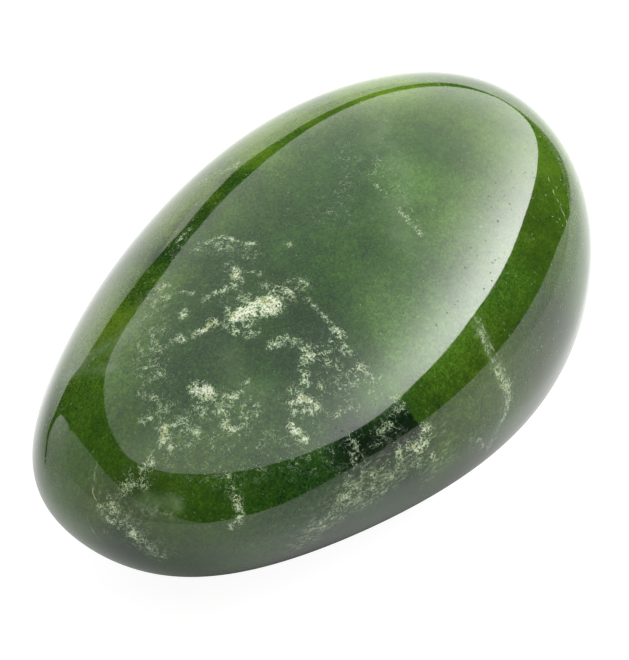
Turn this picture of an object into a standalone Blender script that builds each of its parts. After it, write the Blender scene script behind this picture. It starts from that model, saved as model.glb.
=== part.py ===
"""A polished jade boulder: one solid, water-worn stone.

Its own frame: +X points to the broad end, +Z up. The origin is under the middle of the stone, on the
surface that it rests on. The form is an egg-like ellipsoid with soft worn faces, cut flat where it rests.
"""

import math

import bmesh
import bpy
import numpy as np

# The rounded stone before wear: an ellipsoid's half axes, in metres.
HALF_LENGTH = 0.0819
HALF_WIDTH = 0.0500
HALF_HEIGHT = 0.0371

# Shares of the half width and half height that the +X end gains and the -X end loses.
BROAD_END_WIDENING = 0.141
BROAD_END_THICKENING = 0.123

# Soft flats worn into the stone: the way each one faces (azimuth from +X and elevation, in degrees),
# and its distance from the stone's centre, in metres.
WORN_FACES = {
    "narrow_end": (184, -23, 0.0721),
    "front_underside": (-116, -37, 0.0489),
    "broad_end_underside": (-41, -39, 0.0566),
    "back_side": (69, 13, 0.0518),
    "back_shoulder": (103, 42, 0.0432),
    "crown": (-3, 85, 0.0358),
}
# How tightly a worn face turns into its neighbours: 2 melts it away, 30 leaves an edge.
WEAR_POWER = 6

# The face that the stone rests on, and the roll-up around it, in metres.
REST_DEPTH = 0.0332
REST_ROLL = 0.0008

SUBDIVISIONS = 5
JADE_COLOUR = (0.045, 0.130, 0.022, 1.0)
JADE_ROUGHNESS = 0.08
JADE_IOR = 1.61


def facing(azimuth, elevation):
    """The unit vector at this azimuth from +X and elevation, in degrees."""
    around, up = math.radians(azimuth), math.radians(elevation)
    level = math.cos(up)
    return np.array([level * math.cos(around), level * math.sin(around), math.sin(up)])


def outwardness(points):
    """1 on the worn ellipsoid, less inside it and more outside, in proportion to the distance from its centre."""
    half_axes = np.array([HALF_LENGTH, HALF_WIDTH, HALF_HEIGHT])
    total = np.linalg.norm(points / half_axes, axis=1) ** WEAR_POWER
    for azimuth, elevation, distance in WORN_FACES.values():
        towards = points @ facing(azimuth, elevation)
        total += np.maximum(0.0, towards / distance) ** WEAR_POWER
    return total ** (1 / WEAR_POWER)


def egg_shaped(points):
    """The points with the +X end made wider and thicker than the -X end."""
    share = points[:, 0] / HALF_LENGTH
    shaped = points.copy()
    shaped[:, 1] *= 1 + BROAD_END_WIDENING * share
    shaped[:, 2] *= 1 + BROAD_END_THICKENING * share
    return shaped


def rested(height):
    """Heights above the resting face, with what was below it raised to 0 and the surface rolled up around it."""
    rolled = (height + REST_ROLL) ** 2 / (4 * REST_ROLL)
    return np.where(height < -REST_ROLL, 0.0, np.where(height > REST_ROLL, height, rolled))


def stone_surface(directions):
    """The surface points that lie in these directions from the stone's centre."""
    surface = egg_shaped(directions / outwardness(directions)[:, None])
    surface[:, 2] = rested(surface[:, 2] + REST_DEPTH)
    middle = (surface.min(axis=0) + surface.max(axis=0)) / 2
    surface[:, :2] -= middle[:2]
    return surface


def jade_material():
    material = bpy.data.materials.new("jade")
    material.use_nodes = True
    shader = material.node_tree.nodes["Principled BSDF"]
    shader.inputs["Base Color"].default_value = JADE_COLOUR
    shader.inputs["Roughness"].default_value = JADE_ROUGHNESS
    shader.inputs["Metallic"].default_value = 0.0
    shader.inputs["IOR"].default_value = JADE_IOR
    return material


def jade_boulder():
    """The one piece: a ball of triangles, each vertex moved out to the stone's surface."""
    ball = bmesh.new()
    bmesh.ops.create_icosphere(ball, subdivisions=SUBDIVISIONS, radius=1.0)
    directions = np.array([vertex.co.normalized() for vertex in ball.verts])
    for vertex, place in zip(ball.verts, stone_surface(directions)):
        vertex.co = place
    mesh = bpy.data.meshes.new("jade_boulder")
    ball.to_mesh(mesh)
    ball.free()
    mesh.shade_smooth()
    mesh.materials.append(jade_material())
    stone = bpy.data.objects.new("jade_boulder", mesh)
    bpy.context.scene.collection.objects.link(stone)
    return stone


for leftover in list(bpy.data.objects):
    bpy.data.objects.remove(leftover)
jade_boulder()
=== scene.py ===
"""The looks of a polished jade boulder: the smooth stone, its jade, a pale studio and the camera."""

import math
import random

import bmesh
import bpy
import numpy as np
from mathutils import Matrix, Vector
from mathutils.bvhtree import BVHTree


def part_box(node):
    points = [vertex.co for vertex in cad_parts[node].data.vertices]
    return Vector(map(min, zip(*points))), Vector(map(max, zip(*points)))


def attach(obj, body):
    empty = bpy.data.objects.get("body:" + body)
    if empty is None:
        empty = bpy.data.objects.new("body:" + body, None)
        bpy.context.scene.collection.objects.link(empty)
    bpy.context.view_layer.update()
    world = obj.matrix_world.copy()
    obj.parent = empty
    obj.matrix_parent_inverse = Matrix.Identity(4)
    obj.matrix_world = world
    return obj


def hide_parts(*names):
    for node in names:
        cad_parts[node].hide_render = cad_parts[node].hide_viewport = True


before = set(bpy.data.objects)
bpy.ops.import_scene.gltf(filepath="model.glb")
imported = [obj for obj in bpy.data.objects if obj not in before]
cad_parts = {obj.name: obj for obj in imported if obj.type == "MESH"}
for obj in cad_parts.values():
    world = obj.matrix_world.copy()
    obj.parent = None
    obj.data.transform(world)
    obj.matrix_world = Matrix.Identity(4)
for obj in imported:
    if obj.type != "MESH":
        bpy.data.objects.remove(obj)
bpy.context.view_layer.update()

MM = 0.001

# ---------------------------------------------------------------- the stone's form, as in the CAD solid
# Metres. The scene's stone is then scaled to the CAD stone's box.
HALF_LENGTH = 0.0819
HALF_WIDTH = 0.0500
HALF_HEIGHT = 0.0371
BROAD_END_WIDENING = 0.141
BROAD_END_THICKENING = 0.123
# Softly worn faces: (azimuth, elevation, distance from the middle).
WORN_FACES = {
    "narrow_end": (184, -23, 0.0721),
    "front_underside": (-116, -37, 0.0489),
    "broad_end_underside": (-41, -39, 0.0566),
    "back_side": (69, 13, 0.0518),
    "back_shoulder": (103, 42, 0.0432),
    "crown": (-3, 85, 0.0358),
}
WEAR_POWER = 6
REST_DEPTH = 0.0332
REST_ROLL = 0.0008
# The number of faces along each edge of the cube that the stone's mesh is made from.
FACE_GRID = 128

# ---------------------------------------------------------------- the camera
IMAGE_WIDTH = 629
IMAGE_HEIGHT = 660
CAMERA_AZIMUTH = -55.6
CAMERA_ELEVATION = 46.0
CAMERA_DISTANCE = 0.655
CAMERA_RIGHT = 1.43 * MM
CAMERA_UP = 0.78 * MM
LENS = 170.0
SENSOR = 36.0
CLIP_START = 0.05
CLIP_END = 50.0

# ---------------------------------------------------------------- the jade's zones, with their painted light and shade, and markings
# Each place is a pixel of the camera's picture, and lies on the stone behind that pixel. Reaches and widths
# are in millimetres on the stone.
# Zones of colour: (place, reach, tone in stops brighter than plain jade, warmth). Warmth runs from 0 for
# blue-green to 1 for yellow-green. Most are the jade's own clouds, but some are painted light and shade:
# the bright warm rims paint the light that shines through the stone's thin edges, the hot flank paints
# light beside the softbox's hot strip, and the keels along the lower edge paint shade on the underside.
ZONES = {
    # Painted light: the back rim and the broad shoulder are brighter and warmer, for the light through the
    # thin edge.
    "back_rim_painted_glow": ((372, 84), 9, 1.5, 0.8),
    "broad_shoulder_painted_glow": ((515, 140), 13, 0.8, 0.6),
    "broad_end": ((556, 190), 8, 0.2, 0.6),
    # Painted light: the hot flank is brighter beside the softbox's hot strip.
    "hot_flank_painted_light": ((470, 235), 11, 0.6, 0.4),
    "broad_band": ((530, 230), 6, -0.5, 0.7),
    "clear_shoulder": ((420, 325), 11, 0.8, 0.2),
    "crown_right": ((424, 278), 8, -0.1, 0.1),
    "front_shoulder": ((485, 372), 8, -0.1, 0.8),
    # Painted shade: the broad keel is darker on the underside of the lower edge.
    "broad_keel_painted_shade": ((553, 358), 9, -1.3, 0.8),
    "crown_cloud": ((355, 165), 8, -0.3, 0.0),
    "crown_cloud_right": ((442, 146), 6, -0.1, 0.1),
    "crown_light": ((405, 178), 6, 0.95, 0.1),
    "crown": ((345, 230), 12, -0.4, 0.0),
    # Painted light: the back rise and the back flank are brighter and warmer, for the light through the thin
    # edge.
    "back_rise_painted_glow": ((268, 134), 8, 1.5, 0.8),
    "back_flank_painted_glow": ((184, 204), 8, 1.4, 1.0),
    "back_band_far": ((293, 140), 4, -0.5, 0.2),
    "back_band_high": ((233, 186), 4, -0.6, 0.2),
    "back_band": ((197, 215), 4, -1.2, 0.2),
    "back_band_low": ((167, 254), 4, -0.9, 0.2),
    "narrow_band": ((138, 291), 4, -1.1, 0.2),
    "smoky_top": ((285, 262), 9, -0.65, 0.0),
    "smoky_heart": ((235, 345), 14, -0.95, 0.0),
    "smoky_light": ((236, 398), 6, 0.3, 0.2),
    "smoky_left": ((165, 385), 7, -0.9, 0.1),
    "smoky_edge": ((330, 350), 8, -0.8, 0.0),
    "smoky_shade": ((336, 292), 4, -0.6, 0.0),
    "heart_olive": ((288, 289), 2.5, -0.6, 1.0),
    "smoky_dark": ((313, 317), 3.5, -1.4, 0.0),
    "fracture_light": ((379, 391), 3.5, 1.25, 0.0),
    "fracture_end": ((407, 416), 3, -0.8, 0.1),
    "pair_shade": ((317, 416), 4, -0.8, 0.0),
    "cluster_shade": ((192, 391), 4, -1.1, 0.0),
    "corner_shade": ((138, 491), 4, -1.0, 0.7),
    "band_shade": ((345, 442), 3.5, -1.0, 0.3),
    "keel_rise": ((436, 465), 4, 0.5, 0.3),
    # Painted light: the narrow flank is brighter and warmer, for the light through the thin edge.
    "narrow_flank_painted_glow": ((112, 315), 10, 1.5, 0.8),
    "narrow_light": ((122, 372), 6, 0.7, 0.4),
    "narrow_end": ((85, 440), 11, 0.2, 0.4),
    "front_left": ((186, 498), 11, 0.15, 0.5),
    "front_rise": ((318, 436), 4, 0.4, 0.0),
    "front_shade": ((226, 500), 6, -0.6, 0.2),
    "front": ((300, 490), 11, -0.85, 0.1),
    "front_right": ((440, 430), 9, -0.3, 0.6),
    # Painted shade: the keels from here to the left keel are darker on the underside, along the lower edge.
    "right_keel": ((470, 465), 7, -1.1, 0.4),
    "right_keel_left": ((410, 487), 6, -1.7, 0.1),
    "front_keel_painted_shade": ((395, 505), 8, -0.9, 0.0),
    "near_keel": ((315, 543), 8, -1.6, 0.0),
    "near_keel_left": ((200, 562), 8, -1.0, 0.2),
    "left_keel": ((122, 545), 6, -1.9, 0.0),
    "left_keel_rise": ((100, 510), 5, 0.0, 0.9),
}
# The plain jade between the zones: how much it counts, and its warmth.
PLAIN_WEIGHT = 0.12
PLAIN_WARMTH = 0.35
# A fracture inside the stone, along the first line. It is smoky on its near-left side, and darkest there
# along the second line.
FRACTURE = [(296, 285), (346, 345), (391, 394), (419, 424)]
FRACTURE_DARK = [(356, 449), (376, 443), (404, 427)]
FRACTURE_DARK_REACH = 4.5
FRACTURE_SMOKE_REACH = 9

# Pale flecks: (half-width, strength, the line they follow). Weak and wide ones are a dust of fine threads.
FLECKS = {
    "heart_patch": (2.6, 1.35, [(238, 314), (248, 309), (258, 306), (270, 304)]),
    "heart_foot": (2.0, 0.78, [(230, 323), (238, 328), (247, 328)]),
    "heart_head": (2.6, 0.6, [(268, 290), (280, 292), (292, 291), (299, 284)]),
    "heart_knot": (1.7, 0.8, [(231, 266), (236, 273), (237, 281)]),
    "heart_knot_side": (1.2, 0.55, [(243, 272), (258, 273)]),
    "heart_string": (1.2, 0.68, [(236, 283), (226, 288), (214, 292), (205, 298)]),
    "heart_halo": (5.0, 0.34, [(222, 290), (246, 296), (270, 296)]),
    "top_string": (0.9, 0.6, [(206, 243), (219, 236), (232, 239), (243, 242), (256, 244)]),
    "top_spot": (1.1, 0.55, [(284, 244), (289, 244)]),
    "top_dust": (3.5, 0.36, [(186, 246), (215, 244), (250, 252)]),
    "left_string": (1.4, 0.66, [(156, 347), (168, 343), (180, 338), (190, 335)]),
    "left_knot": (1.5, 0.8, [(178, 339), (182, 338)]),
    "left_patch": (1.5, 0.76, [(200, 330), (208, 326), (213, 322)]),
    "left_spot": (1.3, 0.8, [(180, 316), (184, 311)]),
    "upper_left_spots": (2.0, 0.62, [(150, 302), (155, 290), (166, 285)]),
    "upper_left_dots": (1.6, 0.6, [(154, 303), (167, 297)]),
    "upper_left_dash": (0.8, 0.55, [(182, 291), (192, 293)]),
    "left_dust": (5.5, 0.38, [(158, 300), (150, 345), (148, 385)]),
    "rim_string": (1.2, 0.5, [(178, 240), (186, 232), (190, 228)]),
    "rim_dust": (1.6, 0.5, [(196, 184), (212, 175), (224, 170), (243, 161)]),
    "middle_arc": (0.8, 0.5, [(238, 335), (246, 337), (254, 335), (260, 331)]),
    "middle_dots": (1.4, 0.66, [(272, 346), (284, 338), (292, 342), (300, 348)]),
    "middle_drop": (1.8, 0.66, [(299, 345), (306, 352), (314, 357)]),
    "middle_column": (1.8, 0.6, [(306, 358), (305, 370), (304, 382), (293, 392)]),
    "right_string": (0.9, 0.5, [(302, 295), (313, 304), (325, 318), (334, 328)]),
    "right_string_knot": (1.4, 0.7, [(334, 328), (339, 334), (341, 342)]),
    "right_string_low": (1.6, 0.58, [(341, 342), (348, 356), (360, 367), (370, 378)]),
    "edge_dust": (3.2, 0.54, [(362, 372), (378, 388), (394, 402)]),
    "smoke_dust": (6.0, 0.38, [(325, 352), (345, 375), (365, 398)]),
    "smoke_dust_left": (3.5, 0.32, [(322, 340), (326, 375)]),
    "ring_right": (1.1, 0.48, [(318, 384), (323, 392), (320, 402)]),
    "pair_upper": (2.0, 0.98, [(290, 402), (296, 400), (304, 403), (311, 407)]),
    "pair_lower": (1.6, 1.05, [(293, 425), (297, 432), (302, 440)]),
    "pair_link": (1.3, 0.62, [(293, 408), (291, 418)]),
    "pair_halo": (4.0, 0.32, [(300, 400), (302, 425), (312, 412)]),
    "low_dashes": (1.1, 0.55, [(327, 416), (338, 412), (350, 408)]),
    "cluster_core": (1.7, 1.08, [(196, 388), (203, 389), (209, 394)]),
    "cluster_string": (1.2, 0.7, [(211, 395), (225, 397), (236, 396), (241, 389), (246, 383)]),
    "cluster_dust": (4.4, 0.56, [(206, 408), (226, 410), (243, 412), (228, 424)]),
    "cluster_spots": (1.3, 0.75, [(227, 428), (236, 427)]),
    "cluster_spot": (1.2, 0.6, [(252, 404), (261, 408)]),
    "left_low_spot": (1.1, 0.75, [(142, 418), (151, 419)]),
    "left_low_string": (1.4, 0.74, [(161, 424), (165, 433), (163, 443)]),
    "left_low_branch": (1.4, 0.68, [(170, 447), (180, 447), (189, 441), (196, 432)]),
    "left_low_head": (1.6, 0.6, [(176, 424), (190, 420)]),
    "left_low_halo": (5.0, 0.4, [(165, 415), (190, 430), (170, 450)]),
    "thread": (0.7, 0.5, [(142, 381), (149, 386), (151, 393), (157, 399)]),
    "thread_spots": (1.8, 0.55, [(146, 368), (158, 372)]),
    "corner_patch": (1.6, 0.62, [(141, 464), (146, 459), (152, 462)]),
    "corner_string": (1.4, 0.6, [(146, 468), (140, 476), (131, 482), (124, 487)]),
    "corner_branch": (1.2, 0.58, [(131, 474), (134, 483), (144, 486)]),
    "corner_drop": (1.1, 0.55, [(124, 485), (117, 494), (111, 501)]),
    "corner_halo": (4.0, 0.28, [(155, 450), (138, 475), (116, 498)]),
    "keel_patch": (1.7, 0.8, [(103, 508), (109, 504), (113, 510)]),
    "keel_hatch": (1.8, 0.72, [(108, 518), (118, 522), (128, 529), (134, 534)]),
    "keel_fan": (2.2, 0.42, [(134, 535), (146, 545), (157, 554)]),
    "keel_dust": (3.0, 0.34, [(110, 500), (118, 514), (136, 530)]),
    "front_drop": (1.2, 0.68, [(231, 490), (236, 497), (237, 507), (241, 513), (238, 521), (232, 526)]),
    "front_dust": (4.0, 0.28, [(190, 470), (225, 474), (262, 466)]),
    "low_dust": (6.0, 0.30, [(215, 445), (260, 440), (300, 455), (340, 440)]),
    "band_string": (0.9, 0.55, [(349, 436), (355, 446), (353, 456), (354, 466)]),
    "band_bits": (1.5, 0.42, [(376, 432), (386, 426), (394, 423)]),
    "band_bits_low": (1.2, 0.5, [(378, 441), (390, 440)]),
    "band_dust": (4.0, 0.2, [(345, 452), (365, 440), (395, 430)]),
    "keel_knot": (2.1, 0.74, [(402, 452), (411, 448), (420, 446), (425, 438), (426, 431)]),
    "keel_knot_side": (1.4, 0.62, [(431, 455), (438, 460)]),
    "keel_spot": (2.4, 0.6, [(343, 494), (350, 498), (352, 490)]),
    "keel_haze": (5.0, 0.47, [(352, 486), (376, 488), (400, 462), (425, 454)]),
    "keel_haze_low": (4.6, 0.44, [(318, 528), (345, 505)]),
    "broad_vein_core": (1.6, 0.7, [(496, 368), (503, 379), (508, 392), (507, 400)]),
    "broad_vein_thread": (0.8, 0.52, [(478, 328), (484, 342), (490, 355), (496, 368)]),
    "broad_vein_tail": (0.7, 0.45, [(507, 400), (504, 416), (496, 432)]),
    "broad_spot": (1.3, 0.6, [(493, 439), (489, 447)]),
    "broad_dust": (2.4, 0.38, [(474, 438), (484, 446)]),
    "crown_dust": (7.0, 0.22, [(330, 215), (350, 150), (400, 190)]),
    "crown_threads": (1.1, 0.5, [(398, 208), (410, 222), (420, 233)]),
    "crown_threads_high": (1.2, 0.38, [(380, 158), (372, 178), (385, 196)]),
}
# Pale fibres that run along the stone: (half-width, strength, the line they follow).
FIBRES = {
    "front_fibres": (4.0, 1.1, [(302, 545), (318, 528), (336, 508), (356, 488), (376, 478), (398, 462)]),
    "front_fibres_low": (3.0, 0.8, [(345, 505), (372, 492), (392, 478), (410, 470)]),
    "broad_fibres": (3.0, 0.8, [(428, 474), (438, 462), (444, 446), (440, 432)]),
    "keel_fibres": (3.2, 0.8, [(118, 512), (136, 532), (156, 552)]),
    "corner_fibres": (1.4, 0.8, [(146, 511), (160, 512), (172, 510)]),
    "broad_vein": (1.5, 0.6, [(474, 318), (487, 346), (499, 368), (508, 390), (505, 408)]),
    "narrow_fibres": (1.6, 0.45, [(92, 470), (99, 500), (104, 530)]),
}
# Soft milky veils: (half-width, strength, the line they follow).
VEILS = {
    "narrow_veil": (2.6, 0.6, [(84, 362), (98, 352), (112, 346), (130, 330)]),
    "narrow_veil_edge": (1.3, 0.6, [(64, 375), (76, 372), (90, 369), (104, 368), (114, 366)]),
    "corner_veil": (1.5, 1.0, [(142, 501), (156, 503), (174, 503)]),
    "broad_veil": (1.2, 0.28, [(474, 318), (487, 346), (499, 368), (507, 390), (505, 408), (496, 430)]),
    "crown_veil": (3.6, 0.26, [(378, 112), (380, 140), (398, 165), (402, 190), (392, 215), (406, 243)]),
    "crown_veil_right": (4.0, 0.10, [(372, 280), (378, 298)]),
    "smoke_veil": (3.0, 0.16, [(226, 352), (238, 384), (262, 392)]),
}
# Hairline cracks, less than half a millimetre wide: (strength, the line they follow).
CRACKS = {
    "narrow_crack": (0.75, [(95, 468), (93, 482), (93, 494), (99, 508)]),
    "keel_crack": (0.5, [(87, 518), (91, 526), (96, 535)]),
    "broad_crack": (0.6, [(548, 178), (553, 192), (560, 207), (567, 224)]),
    "broad_vein_edge": (0.6, [
        (474, 318), (481, 335), (487, 350), (494, 366), (501, 380), (505, 392), (505, 405), (499, 424)]),
    "broad_vein_side": (0.6, [
        (480, 320), (486, 336), (494, 352), (503, 366), (509, 380), (510, 395), (508, 408), (503, 420),
        (494, 434)]),
    "crown_crack": (0.3, [(399, 190), (408, 203), (419, 224)]),
    "front_crack": (0.4, [(350, 436), (358, 447), (364, 460)]),
    "fan_crack": (0.5, [(134, 538), (144, 545), (153, 552)]),
}

# The sides that the camera doesn't see have marks of the same kinds, drawn at random from this seed: how many
# there are, their half-widths and strengths, how many places each goes through and how far apart they are.
HIDDEN_SEED = 12
HIDDEN_FLECKS = 56
HIDDEN_FIBRES_OR_VEILS = 8
HIDDEN_CRACKS = 7
HIDDEN_WIDTHS = (0.7, 1.8)
HIDDEN_STRENGTHS = (0.4, 1.0)
HIDDEN_STEPS = (2, 5)
HIDDEN_STRIDES = (0.4, 1.0)
# How far a mark drifts from one place to the next, and how much that changes on the way.
HIDDEN_DRIFT = 0.16
HIDDEN_TURN = 0.07
# Hidden fibres and veils are wider than hidden flecks, and fainter, as the cracks are.
HIDDEN_WIDENING = 2
HIDDEN_FAINTNESS = 0.6
# The camera sees a place whose surface leans towards it by more than this, from -1 to 1.
SEEN_FROM = -0.12

# How far a mark reaches, in half-widths, and a crack, in millimetres.
MARK_REACH = 2.5
CRACK_REACH = 1.6

# ---------------------------------------------------------------- the jade's grain, colours and polish
# Noises: (period in millimetres, detail, roughness, distortion).
NOISES = {
    "clouds": (13, 3.0, 0.55, 0.5),
    "mottles": (3.4, 3.0, 0.6, 0.3),
    "curds": (1.3, 3.0, 0.7, 0.5),
    "grain": (0.5, 2.0, 0.7, 0.0),
    "ragged_edge": (3.0, 4.0, 0.6, 0.0),
    "veil_breaks": (4, 4.0, 0.6, 0.0),
    "fibre_breaks": (2.6, 3.0, 0.5, 0.0),
    "fibre_threads": (0.7, 3.0, 0.65, 0.4),
    "speck_drifts": (7, 3.0, 0.6, 0.0),
    "fleck_breaks": (2.3, 3.0, 0.65, 0.0),
    "coarse_threads": (1.5, 2.5, 0.7, 0.5),
    "fine_threads": (0.7, 1.5, 0.7, 0.3),
    "sparkle": (0.42, 2.0, 0.7, 0.0),
    "olive": (2.0, 3.0, 0.6, 0.0),
    "crack_wander": (2.0, 3.0, 0.5, 0.0),
    "crack_gaps": (1.2, 2.0, 0.5, 0.0),
    "smears": (9, 3.0, 0.5, 0.0),
    "waves": (13, 2.0, 0.4, 0.0),
}
# Patches of a noise: (where its edge starts, where it ends, the value outside, the value inside).
PATCHES = {
    "veil_breaks": (0.35, 0.62, 0.4, 1.0),
    "fibre_breaks": (0.34, 0.62, 0.0, 1.0),
    "fibre_threads": (0.45, 0.66, 0.0, 1.0),
    "speck_drifts": (0.40, 0.70, 0.0, 1.0),
    "fleck_breaks": (0.36, 0.62, 0.45, 1.25),
    "sparkle": (0.40, 0.55, 0.3, 1.0),
    "crack_gaps": (0.42, 0.58, 0.0, 1.0),
    "smears": (0.3, 0.7, 0.03, 0.055),
}
# How strongly each shades the jade, in stops.
CLOUD_DEPTH = 1.4
MOTTLE_DEPTH = 0.8
CURD_DEPTH = 1.5
GRAIN_DEPTH = 2.6
SMOKE_DEPTH = -0.35
FRACTURE_DEPTH = -2.3
MOTTLE_WARMTH = 0.35
# The curds and the grain grow stronger towards -X, but not at the narrow end's very tip: from here to here.
COARSENESS = 1.25
COARSENESS_ALONG = -9.0
TIP = (-0.072, -0.050)
TIP_COARSENESS = 0.45
FRACTURE_RAGGEDNESS = 3.0
FRACTURE_EDGE = (-0.5, 0.5)
# Body colours, from the darkest at 0 to the brightest at 1, and the tones that those two stand for.
TONES = (-3.0, 1.5)
COOL_JADE = {
    0.0: (0.001, 0.011, 0.003), 0.222: (0.003, 0.022, 0.004), 0.444: (0.009, 0.043, 0.006),
    0.667: (0.023, 0.085, 0.008), 0.889: (0.052, 0.170, 0.014), 1.0: (0.085, 0.240, 0.022),
}
WARM_JADE = {
    0.0: (0.006, 0.011, 0.003), 0.222: (0.011, 0.021, 0.003), 0.444: (0.023, 0.042, 0.003),
    0.667: (0.048, 0.085, 0.004), 0.889: (0.100, 0.170, 0.008), 1.0: (0.150, 0.240, 0.015),
}
VEIL_COLOUR = (0.180, 0.270, 0.130)
FIBRE_COLOUR = (0.270, 0.320, 0.190)
SPECK_COLOUR = (0.200, 0.290, 0.150)
HAZE_COLOUR = (0.200, 0.300, 0.180)
THREAD_COLOUR = (0.330, 0.450, 0.240)
CREAM = (0.720, 0.780, 0.570)
OLIVE_CREAM = (0.480, 0.520, 0.230)
CRACK_COLOUR = (0.420, 0.480, 0.300)

# Fibres, specks, threads, cracks, waves and pits. Spacings are in millimetres, and the widths of specks and
# pits are shares of their spacing.
FIBRE_STRETCH = (0.22, 1.0, 1.0)
FIBRE_TURN = 0.2
SPECK_SPACING = 0.85
SPECK_POWER = 3.0
SPECK_WIDTH = 0.10
SPECK_WIDENING = 0.22
SPECK_EDGE = (-0.03, 0.08, 0.0, 0.6)
THREAD_OPENING = 0.115
THREAD_POWER = 1.7
THREAD_EDGE = (0.0, 0.010)
FINE_THREAD_THINNING = 0.012
FLECK_HAZE = 0.06
OLIVE_BY_WARMTH = 0.2
OLIVE_EDGE = (0.54, 0.64)
CREAM_BY_SPARKLE = 0.5
CREAM_EDGE = (0.75, 1.25)
# A crack's distances in millimetres where it starts to show and where it is full.
CRACK_EDGE = (0.22, 0.05)
JADE_IOR = 1.61
FLECK_DULLNESS = 0.14
WAVE_DEPTH = 0.05 * MM
PIT_DEPTH = 0.08 * MM
PIT_SPACING = 1.0
PIT_POWER = 4.0
PIT_WIDTH = 0.22
PIT_EDGE = (-0.08, 0.04)
FLECK_SINKING = -0.35

# ---------------------------------------------------------------- the studio
STUDIO_RADIUS = 2.0
CANOPY_BEHIND = 0.1
WALL_BEHIND = 0.2
DISC_RINGS = 24
CORNER_ROUNDS = 3
CORNER_CUT = 0.25
STUDIO_ROUGHNESS = 0.8
# Outlines on a map of the sky over the stone: degrees from straight up, to the camera's right and away
# from the camera.
SOFTBOX_OUTLINE = [
    (43, 73), (45, 52), (46.5, 36), (50, 24), (52, 12), (53.5, -3), (53, -19), (50, -28), (41, -35),
    (25, -38.5), (8, -37.5), (-8, -34), (-22, -29), (-39, -14), (-46, 0), (-53, 19), (-57.5, 41),
    (-58, 63), (-43, 65), (-29, 67), (-19, 68), (-8, 74.5), (3, 82), (19, 87), (35, 84),
]
# How many of its first points run down its right side.
SOFTBOX_RIGHT_SIDE = 8
SOFTBOX_MIDDLE = (0, 20)
CANOPY_OUTLINE = [
    (64, 77.5), (72, 67), (72, 50), (72.5, 35), (75.3, 24.5), (77.7, 12.6), (79.6, 0), (79.8, -11),
    (78.6, -22), (77, -32), (73, -42), (67, -53), (57, -69), (41, -86), (5, -94), (-27, -70), (-44, -51),
    (-50.5, -38), (-57.5, -21), (-63, -4), (-68, 13), (-72.3, 31), (-76, 49), (-78.5, 62), (-84, 85),
    (-60, 81), (-45, 75.5), (-41, 73.2), (-35, 75), (-28.7, 77), (-20.7, 75.6), (-14.3, 76.7), (-6, 81),
    (3, 87), (19, 91), (35, 88), (51, 82),
]
CANOPY_MIDDLE = (0, 0)
SOFTBOX_GLOW = 0.93
CANOPY_GLOW = 0.03
ROOM_GLOW = 1.2
ROOM_COLOUR = (1.0, 0.985, 0.93, 1.0)
# The hot strip along the softbox's right side: its glow, its width, and the middle and reach of its length.
HOT_GLOW = 9.0
HOT_WIDTH = 17.2
HOT_MIDDLE = 23
HOT_REACH = 39
# Where the softbox grows brighter on the way away from the camera, or towards it: (from, to, by).
SOFTBOX_RISES = [(50, 75, 0.45), (66, 80, 0.5), (10, -10, 0.45)]
# A darker patch near its middle.
SOFTBOX_DIP = 0.2
SOFTBOX_DIP_PLACE = (7, 33)
SOFTBOX_DIP_REACH = (13, 14)
# A grey wall on the camera's side and the left, as the stone mirrors it: from this azimuth to that one, and
# at these degrees from straight up. Between the last two azimuths it grows as bright as the room.
WALL = (140, 375)
WALL_COLUMNS = 60
WALL_ROWS = (50, 65, 80, 93)
WALL_GLOW = 0.6
WALL_BRIGHTENS = (305, 365)

# The table, as a disc whose rings are closest near the stone. The camera sees one, and the stone mirrors
# another just below it, with a dark cloth on it to the left.
TABLE_RADIUS = 8.0
TABLE_INNER = 0.35
TABLE_GROWTH = 4
TABLE_RINGS = 60
TABLE_TURN = 3
TABLE_HEIGHT = -0.1 * MM
CLOTH_HEIGHT = -0.2 * MM
MIRRORED_HEIGHT = -0.3 * MM
TABLE_ALBEDO = 0.25
TABLE_GLOW = 0.92
CLOTH_GLOW = 0.02
# The cloth's outline: millimetres to the camera's right and away.
DARK_CLOTH = [
    (-122, 0), (-131, 22), (-128, 36), (-149, 72), (-144, 92), (-207, 180), (-262, 320), (-1000, 1560),
    (-1800, 2900), (-2900, 1950), (-500, 318), (-235, 133), (-184, 95), (-142, 46), (-138, 20), (-127, 2),
]
# The mirrored table's glow: its middle, and how much brighter it is towards an azimuth. Azimuths on the table
# run from the camera's right, over the side away from it.
MIRRORED_GLOW = 1.25
MIRRORED_SWING = 0.38
MIRRORED_BRIGHT_SIDE = 35
# Spots that are brighter or darker: (change, azimuth, its spread, distance in metres, its spread).
TABLE_SPOTS = {
    "near_right_shade": (-0.52, -38, 26, 0, math.inf),
    "far_right_light": (0.5, 45, 35, 0.16, 0.09),
    "near_left_shade": (-0.55, -117, 14, 0, 0.1),
    "left_shade": (-0.2, 168, 17, 0.13, 0.03),
    "left_light": (0.45, 158, 22, 0.075, 0.025),
}
# Shades that set in with distance: (change, azimuth, its spread, from this distance, to that one).
TABLE_FADES = {
    "far_left_fade": (-0.95, 131, 15, 0.1, 1.0),
    "left_fade": (-0.36, 165, 17, 0.08, 0.13),
}
# The table's dark far part: it starts nearest at one azimuth, and only beyond another.
DARK_CHANGE = -1.3
DARK_NEAREST = 0.34
DARK_NEAREST_AT = 51
DARK_RETREAT = 0.14
DARK_RETREAT_SPREAD = 7
DARK_EDGE = (1.0, 1.25)
DARK_AZIMUTHS = (38, 43)
# Under the stone, whose outline on the table is about an ellipse, the table is dark.
STONE_FOOT = (0.075, 0.048)
FOOT_SHADE = (0.5, 1.35)


def facing(azimuth, elevation):
    """The unit vector at this azimuth from +X and elevation, in degrees."""
    around, up = math.radians(azimuth), math.radians(elevation)
    level = math.cos(up)
    return np.array([level * math.cos(around), level * math.sin(around), math.sin(up)])


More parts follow.
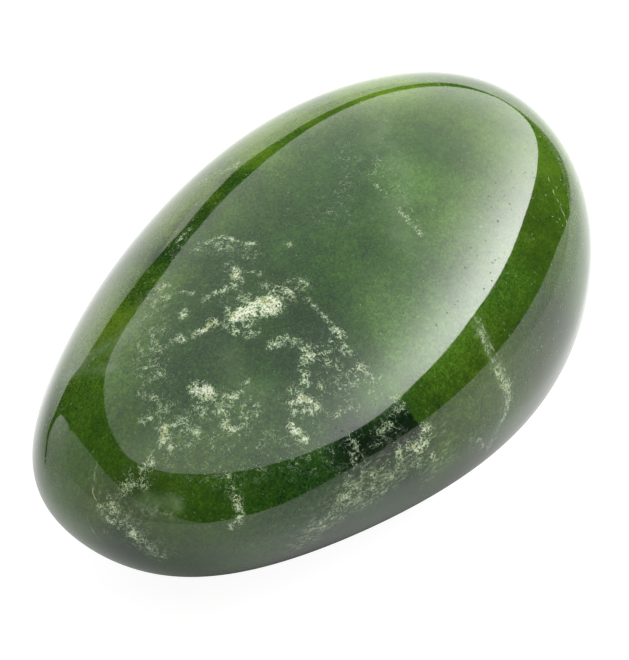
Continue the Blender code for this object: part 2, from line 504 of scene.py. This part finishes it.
def outwardness(points):
    """1 on the worn ellipsoid, less inside it and more outside."""
    half_axes = np.array([HALF_LENGTH, HALF_WIDTH, HALF_HEIGHT])
    total = np.linalg.norm(points / half_axes, axis=1) ** WEAR_POWER
    for azimuth, elevation, distance in WORN_FACES.values():
        total += np.maximum(0.0, points @ facing(azimuth, elevation) / distance) ** WEAR_POWER
    return total ** (1 / WEAR_POWER)


def egg_shaped(points):
    """The points with the +X end made wider and thicker than the -X end."""
    share = points[:, 0] / HALF_LENGTH
    shaped = points.copy()
    shaped[:, 1] *= 1 + BROAD_END_WIDENING * share
    shaped[:, 2] *= 1 + BROAD_END_THICKENING * share
    return shaped


def rested(height):
    """Heights above the resting face: what was below it is raised to 0, and the surface rolls up from it."""
    rolled = (height + REST_ROLL) ** 2 / (4 * REST_ROLL)
    return np.where(height < -REST_ROLL, 0.0, np.where(height > REST_ROLL, height, rolled))


def stone_surface(directions):
    """The surface points in these directions from the stone's middle, before they are fitted to the frame."""
    surface = egg_shaped(directions / outwardness(directions)[:, None])
    surface[:, 2] = rested(surface[:, 2] + REST_DEPTH)
    return surface


def stone_mesh():
    """(the smooth stone's mesh, its middle): a cube's faces, cut into a grid and moved out to the surface."""
    cube = bmesh.new()
    bmesh.ops.create_cube(cube, size=2.0)
    bmesh.ops.subdivide_edges(cube, edges=cube.edges[:], cuts=FACE_GRID - 1, use_grid_fill=True)
    corners = np.array([vertex.co for vertex in cube.verts])
    spread = np.tan(corners * math.pi / 4)
    surface = stone_surface(spread / np.linalg.norm(spread, axis=1)[:, None])
    low, high = np.array(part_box("jade_boulder"))
    scale = (high - low) / (surface.max(axis=0) - surface.min(axis=0))
    offset = low - surface.min(axis=0) * scale
    for vertex, place in zip(cube.verts, surface * scale + offset):
        vertex.co = place
    mesh = bpy.data.meshes.new("polished_stone")
    cube.to_mesh(mesh)
    cube.free()
    mesh.shade_smooth()
    return mesh, Vector(offset + np.array([0, 0, REST_DEPTH]) * scale)


# ---------------------------------------------------------------- places in the camera's picture
def camera_axes():
    """The camera's right, up and backwards directions."""
    a, e = math.radians(CAMERA_AZIMUTH), math.radians(CAMERA_ELEVATION)
    right = Vector((math.cos(a), math.sin(a), 0))
    back = Vector((math.sin(a) * math.cos(e), -math.cos(a) * math.cos(e), math.sin(e)))
    return right, back.cross(right), back


def camera_place(middle):
    right, up, back = camera_axes()
    return middle + back * CAMERA_DISTANCE + right * CAMERA_RIGHT + up * CAMERA_UP


def add_camera(middle):
    camera = bpy.data.objects.new("camera", bpy.data.cameras.new("camera"))
    camera.data.lens = LENS
    camera.data.sensor_width = SENSOR
    camera.data.clip_start = CLIP_START
    camera.data.clip_end = CLIP_END
    camera.rotation_mode = "QUATERNION"
    camera.rotation_quaternion = (-camera_axes()[2]).to_track_quat("-Z", "Y")
    camera.location = camera_place(middle)
    bpy.context.scene.collection.objects.link(camera)
    bpy.context.scene.camera = camera


def on_stone(pixels, tree, middle):
    """The points of the stone behind these pixels."""
    right, up, back = camera_axes()
    origin = camera_place(middle)
    focal = LENS / SENSOR * max(IMAGE_WIDTH, IMAGE_HEIGHT)
    points = []
    for x, y in pixels:
        across = (x + 0.5 - IMAGE_WIDTH / 2) / focal
        down = (y + 0.5 - IMAGE_HEIGHT / 2) / focal
        points.append(tree.ray_cast(origin, right * across - up * down - back)[0])
    return np.array(points)


# ---------------------------------------------------------------- the jade's markings on the mesh
def bump(value, middle, reach):
    """1 where value is at the middle, falling off softly over this reach."""
    return np.exp(-(((value - middle) / reach) ** 2))


def rise(value, start, end):
    """0 where value is at the start or before it, 1 at the end or beyond it, and even in between."""
    return np.clip((value - start) / (end - start), 0, 1)


def line_distance(vertices, line):
    """(distance of each vertex from a line of points, the same with a sign for the side that it lies on)."""
    nearest = np.full(len(vertices), np.inf)
    signed = np.zeros(len(vertices))
    for start, end in zip(line, line[1:]):
        span = end - start
        share = np.clip((vertices - start) @ span / (span @ span), 0.0, 1.0)
        gap = vertices - start - share[:, None] * span
        distance = np.linalg.norm(gap, axis=1)
        outward = start + end - 2 * vertices.mean(axis=0)
        side = np.sign(gap @ np.cross(outward, span))
        closer = distance < nearest
        nearest[closer] = distance[closer]
        signed[closer] = (distance * side)[closer]
    return nearest, signed


def spread_marks(vertices, marks):
    """How strongly each vertex is marked: by the strongest mark there, each a soft stripe along its line."""
    strongest = np.zeros(len(vertices))
    for half_width, strength, line in marks:
        low = line.min(axis=0) - MARK_REACH * half_width * MM
        high = line.max(axis=0) + MARK_REACH * half_width * MM
        close = np.nonzero(((vertices > low) & (vertices < high)).all(axis=1))[0]
        if len(close):
            distance = line_distance(vertices[close], line)[0]
            level = strength * bump(distance, 0, half_width * MM)
            strongest[close] = np.maximum(strongest[close], level)
    return strongest


def drawn_vector(picker, size):
    return Vector([picker.gauss(0, size) for _ in range(3)])


def hidden_marks(picker, tree, middle, count):
    """Winding marks on the sides that the camera doesn't see, about as wide and strong as those it does."""
    back = camera_axes()[2]
    marks = []
    while len(marks) < count:
        direction = drawn_vector(picker, 1).normalized()
        drift = drawn_vector(picker, HIDDEN_DRIFT)
        line = []
        facing_camera = False
        for _ in range(picker.randint(*HIDDEN_STEPS)):
            place, normal = tree.ray_cast(middle + direction, -direction)[:2]
            facing_camera = facing_camera or normal.dot(back) > SEEN_FROM
            line.append(place)
            direction = (direction + drift * picker.uniform(*HIDDEN_STRIDES)).normalized()
            drift += drawn_vector(picker, HIDDEN_TURN)
        if not facing_camera:
            half_width = picker.uniform(*HIDDEN_WIDTHS)
            marks.append((half_width, picker.uniform(*HIDDEN_STRENGTHS), np.array(line)))
    return marks


def zone_fields(vertices, tree, middle):
    """(tone, warmth) of each vertex: the zones' own, painted light and shade among them, blended by nearness.
    """
    weight = np.full(len(vertices), PLAIN_WEIGHT)
    tone = np.zeros(len(vertices))
    warmth = weight * PLAIN_WARMTH
    for place, reach, zone_tone, zone_warmth in ZONES.values():
        distance = np.linalg.norm(vertices - on_stone([place], tree, middle)[0], axis=1)
        nearness = bump(distance, 0, reach * MM)
        weight += nearness
        tone += nearness * zone_tone
        warmth += nearness * zone_warmth
    return tone / weight, warmth / weight


def crack_fields(vertices, cracks):
    """(signed distance from the nearest crack in millimetres, how strongly it shows) of each vertex."""
    side = np.zeros(len(vertices))
    near = np.zeros(len(vertices))
    closest = np.full(len(vertices), np.inf)
    for strength, line in cracks:
        nearest, signed = line_distance(vertices, line)
        closer = nearest < closest
        closest[closer] = nearest[closer]
        side[closer] = signed[closer] / MM
        near[closer] = strength * bump(nearest[closer], 0, CRACK_REACH * MM)
    return side, near


def paint(mesh, name, values):
    mesh.attributes.new(name, "FLOAT", "POINT").data.foreach_set("value", values.astype(np.float32))


def mark_stone(mesh, middle):
    """Stores the zones, with their painted light and shade, and the jade's markings on the mesh's vertices,
    for its material.
    """
    vertices = np.array([vertex.co for vertex in mesh.vertices])
    tree = BVHTree.FromPolygons(vertices.tolist(), [face.vertices[:] for face in mesh.polygons])
    picker = random.Random(HIDDEN_SEED)

    tone, warmth = zone_fields(vertices, tree, middle)
    paint(mesh, "tone", tone)
    paint(mesh, "warmth", warmth)

    nearest, signed = line_distance(vertices, on_stone(FRACTURE, tree, middle))
    from_dark = line_distance(vertices, on_stone(FRACTURE_DARK, tree, middle))[0]
    if signed[np.argmin(from_dark)] < 0:
        signed = -signed
    paint(mesh, "fracture_side", signed / MM)
    paint(mesh, "fracture_near", bump(nearest, 0, FRACTURE_SMOKE_REACH * MM))
    paint(mesh, "fracture_dark", bump(from_dark, 0, FRACTURE_DARK_REACH * MM))

    flecks = [(width, strength, on_stone(line, tree, middle)) for width, strength, line in FLECKS.values()]
    flecks += hidden_marks(picker, tree, middle, HIDDEN_FLECKS)
    paint(mesh, "fleck", spread_marks(vertices, flecks))
    for name, table in (("fibre", FIBRES), ("veil", VEILS)):
        marks = [(width, strength, on_stone(line, tree, middle)) for width, strength, line in table.values()]
        for width, strength, line in hidden_marks(picker, tree, middle, HIDDEN_FIBRES_OR_VEILS):
            marks.append((width * HIDDEN_WIDENING, strength * HIDDEN_FAINTNESS, line))
        paint(mesh, name, spread_marks(vertices, marks))

    cracks = [(strength, on_stone(line, tree, middle)) for strength, line in CRACKS.values()]
    for _, strength, line in hidden_marks(picker, tree, middle, HIDDEN_CRACKS):
        cracks.append((strength * HIDDEN_FAINTNESS, line))
    side, near = crack_fields(vertices, cracks)
    paint(mesh, "crack_side", side)
    paint(mesh, "crack_near", near)


# ---------------------------------------------------------------- the jade's material
def add(tree, kind, inputs, **settings):
    """A new shader node. inputs gives its sockets, by name or number, a value or another node's output."""
    made = tree.nodes.new("ShaderNode" + kind)
    for name, value in settings.items():
        setattr(made, name, value)
    for name, value in inputs.items():
        if isinstance(value, bpy.types.NodeSocket):
            tree.links.new(value, made.inputs[name])
        else:
            made.inputs[name].default_value = value
    return made


def calc(tree, operation, *values, clamp=False):
    return add(tree, "Math", dict(enumerate(values)), operation=operation, use_clamp=clamp).outputs[0]


def step(tree, value, low, high, start=0.0, end=1.0):
    """value taken smoothly from start, where it is low, to end, where it is high."""
    sockets = {"Value": value, "From Min": low, "From Max": high, "To Min": start, "To Max": end}
    return add(tree, "MapRange", sockets, interpolation_type="SMOOTHSTEP").outputs[0]


def noise(tree, place, name):
    """The noise of this name, from 0 to 1."""
    period, detail, roughness, distortion = NOISES[name]
    sockets = {"Vector": place, "Scale": 1 / (period * MM), "Detail": detail}
    sockets.update({"Roughness": roughness, "Distortion": distortion})
    return add(tree, "TexNoise", sockets).outputs[0]


def centred(tree, place, name):
    """The noise of this name, from -0.5 to 0.5."""
    return calc(tree, "SUBTRACT", noise(tree, place, name), 0.5)


def patches(tree, place, name):
    """The noise of this name, made into patches with soft edges."""
    return step(tree, noise(tree, place, name), *PATCHES[name])


def dots(tree, place, spacing, channel):
    """(distance from the nearest of many scattered dots, a number from 0 to 1 that goes with that dot)."""
    scattered = add(tree, "TexVoronoi", {"Vector": place, "Scale": 1 / (spacing * MM), "Randomness": 1.0})
    number = add(tree, "SeparateColor", {"Color": scattered.outputs["Color"]}).outputs[channel]
    return scattered.outputs["Distance"], number


def stored(tree, name):
    return add(tree, "Attribute", {}, attribute_name=name).outputs["Fac"]


def ramp(tree, value, colours):
    """value as a colour between these, given as {position: (red, green, blue)}."""
    made = add(tree, "ValToRGB", {"Fac": value})
    stops = made.color_ramp.elements
    while len(stops) < len(colours):
        stops.new(0.5)
    for stop, (position, colour) in zip(stops, sorted(colours.items())):
        stop.position = position
        stop.color = (*colour, 1.0)
    return made.outputs["Color"]


def mix(tree, share, first, second):
    sockets = {"Fac": share}
    for name, value in (("Color1", first), ("Color2", second)):
        sockets[name] = (*value, 1.0) if isinstance(value, tuple) else value
    return add(tree, "MixRGB", sockets).outputs[0]


def body_colour(tree, place):
    """The stored zones' colour, with their painted light on the thin rims and painted shade on the underside,
    clouded and grainy, and smoky beside the fracture.
    """
    mottles = centred(tree, place, "mottles")
    along = add(tree, "SeparateXYZ", {"Vector": place}).outputs[0]
    coarseness = calc(tree, "MULTIPLY_ADD", along, COARSENESS_ALONG, COARSENESS)
    coarseness = calc(tree, "MULTIPLY", coarseness, step(tree, along, *TIP, start=TIP_COARSENESS))
    tone = calc(tree, "MULTIPLY_ADD", centred(tree, place, "clouds"), CLOUD_DEPTH, stored(tree, "tone"))
    tone = calc(tree, "MULTIPLY_ADD", mottles, MOTTLE_DEPTH, tone)
    for name, depth in (("curds", CURD_DEPTH), ("grain", GRAIN_DEPTH)):
        shade = calc(tree, "MULTIPLY", centred(tree, place, name), depth)
        tone = calc(tree, "MULTIPLY_ADD", shade, coarseness, tone)
    # The fracture's near-left side is smoky right up to a crisp, slightly ragged edge.
    ragged = centred(tree, place, "ragged_edge")
    ragged = calc(tree, "MULTIPLY_ADD", ragged, FRACTURE_RAGGEDNESS, stored(tree, "fracture_side"))
    smoky_side = step(tree, ragged, *FRACTURE_EDGE)
    for name, depth in (("fracture_near", SMOKE_DEPTH), ("fracture_dark", FRACTURE_DEPTH)):
        smoke = calc(tree, "MULTIPLY", smoky_side, stored(tree, name))
        tone = calc(tree, "MULTIPLY_ADD", smoke, depth, tone)
    level = add(tree, "MapRange", {"Value": tone, "From Min": TONES[0], "From Max": TONES[1]}).outputs[0]
    warmth = calc(tree, "MULTIPLY_ADD", mottles, MOTTLE_WARMTH, stored(tree, "warmth"), clamp=True)
    return mix(tree, warmth, ramp(tree, level, COOL_JADE), ramp(tree, level, WARM_JADE))


def veiled(tree, place, colour):
    """The colour with its milky veils."""
    milk = calc(tree, "MULTIPLY", stored(tree, "veil"), patches(tree, place, "veil_breaks"))
    return mix(tree, milk, colour, VEIL_COLOUR)


def fibred(tree, place, colour):
    """The colour with its fibres: noise drawn out along the stone."""
    stretch = {"Vector": place, "Scale": FIBRE_STRETCH, "Rotation": (0, 0, FIBRE_TURN)}
    drawn_out = add(tree, "Mapping", stretch).outputs[0]
    fibre = calc(tree, "MULTIPLY", stored(tree, "fibre"), patches(tree, place, "fibre_breaks"))
    fibre = calc(tree, "MULTIPLY", fibre, patches(tree, drawn_out, "fibre_threads"))
    return mix(tree, fibre, colour, FIBRE_COLOUR)


def specked(tree, place, colour):
    """The colour with its specks: single pale grains, all through the stone but mostly in drifts."""
    distance, number = dots(tree, place, SPECK_SPACING, 0)
    widest = calc(tree, "MULTIPLY_ADD", patches(tree, place, "speck_drifts"), SPECK_WIDENING, SPECK_WIDTH)
    reach = calc(tree, "MULTIPLY", calc(tree, "POWER", number, SPECK_POWER), widest)
    speck = step(tree, calc(tree, "SUBTRACT", reach, distance), *SPECK_EDGE)
    return mix(tree, speck, colour, SPECK_COLOUR)


def flecked(tree, place, colour):
    """(the colour with its flecks, how much of it is fleck): winding threads that are wider and closer where
    the stored strength is high, until they fill it with cream."""
    strength = calc(tree, "MULTIPLY", stored(tree, "fleck"), patches(tree, place, "fleck_breaks"))
    opening = calc(tree, "MULTIPLY", calc(tree, "POWER", strength, THREAD_POWER), THREAD_OPENING)
    coarse = calc(tree, "ABSOLUTE", centred(tree, place, "coarse_threads"))
    fine = calc(tree, "ABSOLUTE", centred(tree, place, "fine_threads"))
    threads = calc(tree, "MINIMUM", coarse, calc(tree, "ADD", fine, FINE_THREAD_THINNING))
    sparkle = noise(tree, place, "sparkle")
    fleck = step(tree, calc(tree, "SUBTRACT", opening, threads), *THREAD_EDGE)
    fleck = calc(tree, "MULTIPLY", fleck, step(tree, sparkle, *PATCHES["sparkle"]))
    colour = mix(tree, calc(tree, "MULTIPLY", strength, FLECK_HAZE), colour, HAZE_COLOUR)
    olive = noise(tree, place, "olive")
    olive = calc(tree, "MULTIPLY_ADD", stored(tree, "warmth"), OLIVE_BY_WARMTH, olive)
    cream = mix(tree, step(tree, olive, *OLIVE_EDGE), CREAM, OLIVE_CREAM)
    density = calc(tree, "MULTIPLY_ADD", sparkle, CREAM_BY_SPARKLE, strength)
    pale = mix(tree, step(tree, density, *CREAM_EDGE), THREAD_COLOUR, cream)
    return mix(tree, fleck, colour, pale), fleck


def cracked(tree, place, colour):
    """(the colour with its hairline cracks, how much of it is crack)."""
    wander = calc(tree, "ADD", centred(tree, place, "crack_wander"), stored(tree, "crack_side"))
    hair = step(tree, calc(tree, "ABSOLUTE", wander), *CRACK_EDGE)
    hair = calc(tree, "MULTIPLY", hair, patches(tree, place, "crack_gaps"))
    crack = calc(tree, "MULTIPLY", hair, stored(tree, "crack_near"))
    return mix(tree, crack, colour, CRACK_COLOUR), crack


def relief(tree, place, fleck):
    """The surface's normal: faint waves left by the polishing, tiny pits, and open grain in the flecks."""
    waves = {"Height": noise(tree, place, "waves"), "Distance": WAVE_DEPTH, "Strength": 1.0}
    waved = add(tree, "Bump", waves).outputs[0]
    distance, number = dots(tree, place, PIT_SPACING, 1)
    reach = calc(tree, "MULTIPLY", calc(tree, "POWER", number, PIT_POWER), PIT_WIDTH)
    pit = step(tree, calc(tree, "SUBTRACT", distance, reach), *PIT_EDGE)
    height = calc(tree, "MULTIPLY_ADD", fleck, FLECK_SINKING, pit)
    pits = {"Height": height, "Distance": PIT_DEPTH, "Strength": 1.0, "Normal": waved}
    return add(tree, "Bump", pits).outputs[0]


def jade():
    material = bpy.data.materials.new("jade")
    material.use_nodes = True
    tree = material.node_tree
    shader = tree.nodes["Principled BSDF"]
    place = add(tree, "TexCoord", {}).outputs["Object"]
    colour = body_colour(tree, place)
    colour = veiled(tree, place, colour)
    colour = fibred(tree, place, colour)
    colour = specked(tree, place, colour)
    colour, fleck = flecked(tree, place, colour)
    colour, crack = cracked(tree, place, colour)
    tree.links.new(colour, shader.inputs["Base Color"])
    # The polish is a little duller on the flecks and cracks.
    dull = calc(tree, "MAXIMUM", fleck, crack)
    roughness = calc(tree, "MULTIPLY_ADD", dull, FLECK_DULLNESS, patches(tree, place, "smears"))
    tree.links.new(roughness, shader.inputs["Roughness"])
    shader.inputs["IOR"].default_value = JADE_IOR
    tree.links.new(relief(tree, place, fleck), shader.inputs["Normal"])
    return material


# ---------------------------------------------------------------- studio
def rounded(outline):
    """The closed outline with its corners cut, each round more finely."""
    points = np.array(outline, float)
    near, far = 1 - CORNER_CUT, CORNER_CUT
    for _ in range(CORNER_ROUNDS):
        following = np.roll(points, -1, axis=0)
        points = np.stack([points * near + following * far, points * far + following * near], axis=1)
        points = points.reshape(-1, 2)
    return points


def in_sky(places, middle, radius):
    """The points at these places on the map of the sky, on a dome of this radius over the stone."""
    right = np.array(camera_axes()[0])
    away = np.cross([0, 0, 1], right)
    zenith_degrees = np.linalg.norm(places, axis=1)[:, None]
    level = places / np.maximum(zenith_degrees, 1e-9)
    from_zenith = np.radians(zenith_degrees)
    directions = np.sin(from_zenith) * (level[:, :1] * right + level[:, 1:] * away)
    directions = directions + np.cos(from_zenith) * np.array([0, 0, 1])
    return np.array(middle) + radius * directions


def ringed(outline, middle, rings):
    """(places, faces) of a disc: rings of faces from its middle out to its outline."""
    places = [np.array([middle], float)]
    for ring in range(1, rings + 1):
        places.append(np.array(middle) + (outline - middle) * ring / rings)
    around = len(outline)
    faces = [(0, 1 + i, 1 + (i + 1) % around) for i in range(around)]
    for ring in range(rings - 1):
        inner, outer = 1 + ring * around, 1 + (ring + 1) * around
        for i in range(around):
            j = (i + 1) % around
            faces.append((inner + i, outer + i, outer + j, inner + j))
    return np.concatenate(places), faces


def studio_piece(name, points, faces, albedo, glow):
    """A piece of the studio, of this albedo, that glows by the strength given for it or for each point."""
    mesh = bpy.data.meshes.new(name)
    mesh.from_pydata(points.tolist(), [], faces)
    paint(mesh, "glow", np.broadcast_to(glow, len(points)))
    material = bpy.data.materials.new(name)
    material.use_nodes = True
    tree = material.node_tree
    shader = tree.nodes["Principled BSDF"]
    shader.inputs["Roughness"].default_value = STUDIO_ROUGHNESS
    shader.inputs["Specular IOR Level"].default_value = 0.0
    shader.inputs["Emission Color"].default_value = (1, 1, 1, 1)
    shader.inputs["Base Color"].default_value = (albedo, albedo, albedo, 1.0)
    tree.links.new(stored(tree, "glow"), shader.inputs["Emission Strength"])
    mesh.materials.append(material)
    piece = bpy.data.objects.new(name, mesh)
    bpy.context.scene.collection.objects.link(piece)
    return piece


def softbox_glow(places):
    """The softbox's brightness: nearly even, with a hot strip along its edge on the camera's right."""
    x, y = places[:, 0], places[:, 1]
    right_side = np.array(SOFTBOX_OUTLINE[SOFTBOX_RIGHT_SIDE - 1::-1])
    inward = np.maximum(0.0, np.interp(y, right_side[:, 1], right_side[:, 0]) - x)
    glow = SOFTBOX_GLOW + HOT_GLOW * bump(inward, 0, HOT_WIDTH) * bump(y, HOT_MIDDLE, HOT_REACH)
    for start, end, change in SOFTBOX_RISES:
        glow += change * rise(y, start, end)
    dip_x, dip_y = SOFTBOX_DIP_PLACE
    reach_x, reach_y = SOFTBOX_DIP_REACH
    return glow - SOFTBOX_DIP * bump(x, dip_x, reach_x) * bump(y, dip_y, reach_y)


def add_wall(middle):
    azimuths = np.radians(np.linspace(*WALL, WALL_COLUMNS))
    places = np.array([(row * math.cos(a), row * math.sin(a)) for a in azimuths for row in WALL_ROWS])
    rows = len(WALL_ROWS)
    faces = [(i, i + 1, i + 1 + rows, i + rows) for i in range(len(places) - rows) if (i + 1) % rows]
    brighter = rise(np.degrees(np.repeat(azimuths, rows)), *WALL_BRIGHTENS)
    glow = WALL_GLOW + (ROOM_GLOW - WALL_GLOW) * brighter
    wall = studio_piece("wall", in_sky(places, middle, STUDIO_RADIUS + WALL_BEHIND), faces, 0.0, glow)
    wall.visible_camera = False
    wall.visible_diffuse = False


def add_studio(middle):
    places, faces = ringed(rounded(SOFTBOX_OUTLINE), SOFTBOX_MIDDLE, DISC_RINGS)
    softbox = studio_piece("softbox", in_sky(places, middle, STUDIO_RADIUS), faces, 0.0, softbox_glow(places))
    softbox.visible_camera = False
    places, faces = ringed(rounded(CANOPY_OUTLINE), CANOPY_MIDDLE, DISC_RINGS)
    points = in_sky(places, middle, STUDIO_RADIUS + CANOPY_BEHIND)
    canopy = studio_piece("canopy", points, faces, 0.0, CANOPY_GLOW)
    canopy.visible_camera = False
    add_wall(middle)
    add_table()
    world = bpy.data.worlds.new("room")
    world.use_nodes = True
    background = world.node_tree.nodes["Background"]
    background.inputs["Color"].default_value = ROOM_COLOUR
    background.inputs["Strength"].default_value = ROOM_GLOW
    bpy.context.scene.world = world
    bpy.context.scene.view_settings.view_transform = "Standard"


def on_table(places, height):
    """The points at these places on the table: metres to the camera's right and away from it."""
    right = camera_axes()[0]
    away = Vector((0, 0, 1)).cross(right)
    return places[:, :1] * np.array(right) + places[:, 1:] * np.array(away) + [0, 0, height]


def table_glow(places):
    """How bright the stone sees the table at these places, in metres to the camera's right and away."""
    distance = np.linalg.norm(places, axis=1)
    around = np.degrees(np.arctan2(places[:, 1], places[:, 0]))

    def about(azimuth, spread):
        return bump((around - azimuth + 180) % 360 - 180, 0, spread)

    glow = MIRRORED_GLOW + MIRRORED_SWING * np.cos(np.radians(around - MIRRORED_BRIGHT_SIDE))
    for change, azimuth, spread, place, reach in TABLE_SPOTS.values():
        glow += change * about(azimuth, spread) * bump(distance, place, reach)
    change, azimuth, spread, start, end = TABLE_FADES["far_left_fade"]
    glow += change * about(azimuth, spread) * rise(np.log10(distance), math.log10(start), math.log10(end))
    change, azimuth, spread, start, end = TABLE_FADES["left_fade"]
    glow += change * about(azimuth, spread) * rise(distance, start, end)
    dark_from = DARK_NEAREST + DARK_RETREAT * ((around - DARK_NEAREST_AT) / DARK_RETREAT_SPREAD) ** 2
    glow += DARK_CHANGE * rise(distance / dark_from, *DARK_EDGE) * rise(around, *DARK_AZIMUTHS)
    turn = np.radians(around + CAMERA_AZIMUTH)
    edge = 1 / np.hypot(np.cos(turn) / STONE_FOOT[0], np.sin(turn) / STONE_FOOT[1])
    return glow * rise(distance / edge, *FOOT_SHADE)


def add_table():
    """The white table that the camera sees, and the same table as the stone mirrors it, with a dark cloth."""
    turns = np.radians(np.arange(0, 360, TABLE_TURN))
    places, faces = ringed(np.stack([np.cos(turns), np.sin(turns)], axis=1), (0, 0), TABLE_RINGS)
    distance = np.linalg.norm(places, axis=1)
    places *= (TABLE_INNER + (TABLE_RADIUS - TABLE_INNER) * distance ** TABLE_GROWTH)[:, None]
    # The middle is moved off 0, where a place has no azimuth and its distance has no logarithm.
    places[0] = 1e-6
    points = on_table(places, MIRRORED_HEIGHT)
    mirrored = studio_piece("mirrored_table", points, faces, 0.0, table_glow(places))
    mirrored.visible_camera = False
    points = on_table(rounded(DARK_CLOTH) * MM, CLOTH_HEIGHT)
    dark_cloth = studio_piece("dark_cloth", points, [range(len(points))], 0.0, CLOTH_GLOW)
    dark_cloth.visible_camera = False
    table = studio_piece("table", on_table(places, TABLE_HEIGHT), faces, TABLE_ALBEDO, TABLE_GLOW)
    table.visible_diffuse = False
    table.visible_glossy = False
    table.visible_shadow = False
    table.visible_transmission = False


mesh, middle = stone_mesh()
mark_stone(mesh, middle)
mesh.materials.append(jade())
stone = bpy.data.objects.new("polished_stone", mesh)
bpy.context.scene.collection.objects.link(stone)
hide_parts("jade_boulder")
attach(stone, "root")
add_camera(middle)
add_studio(middle)
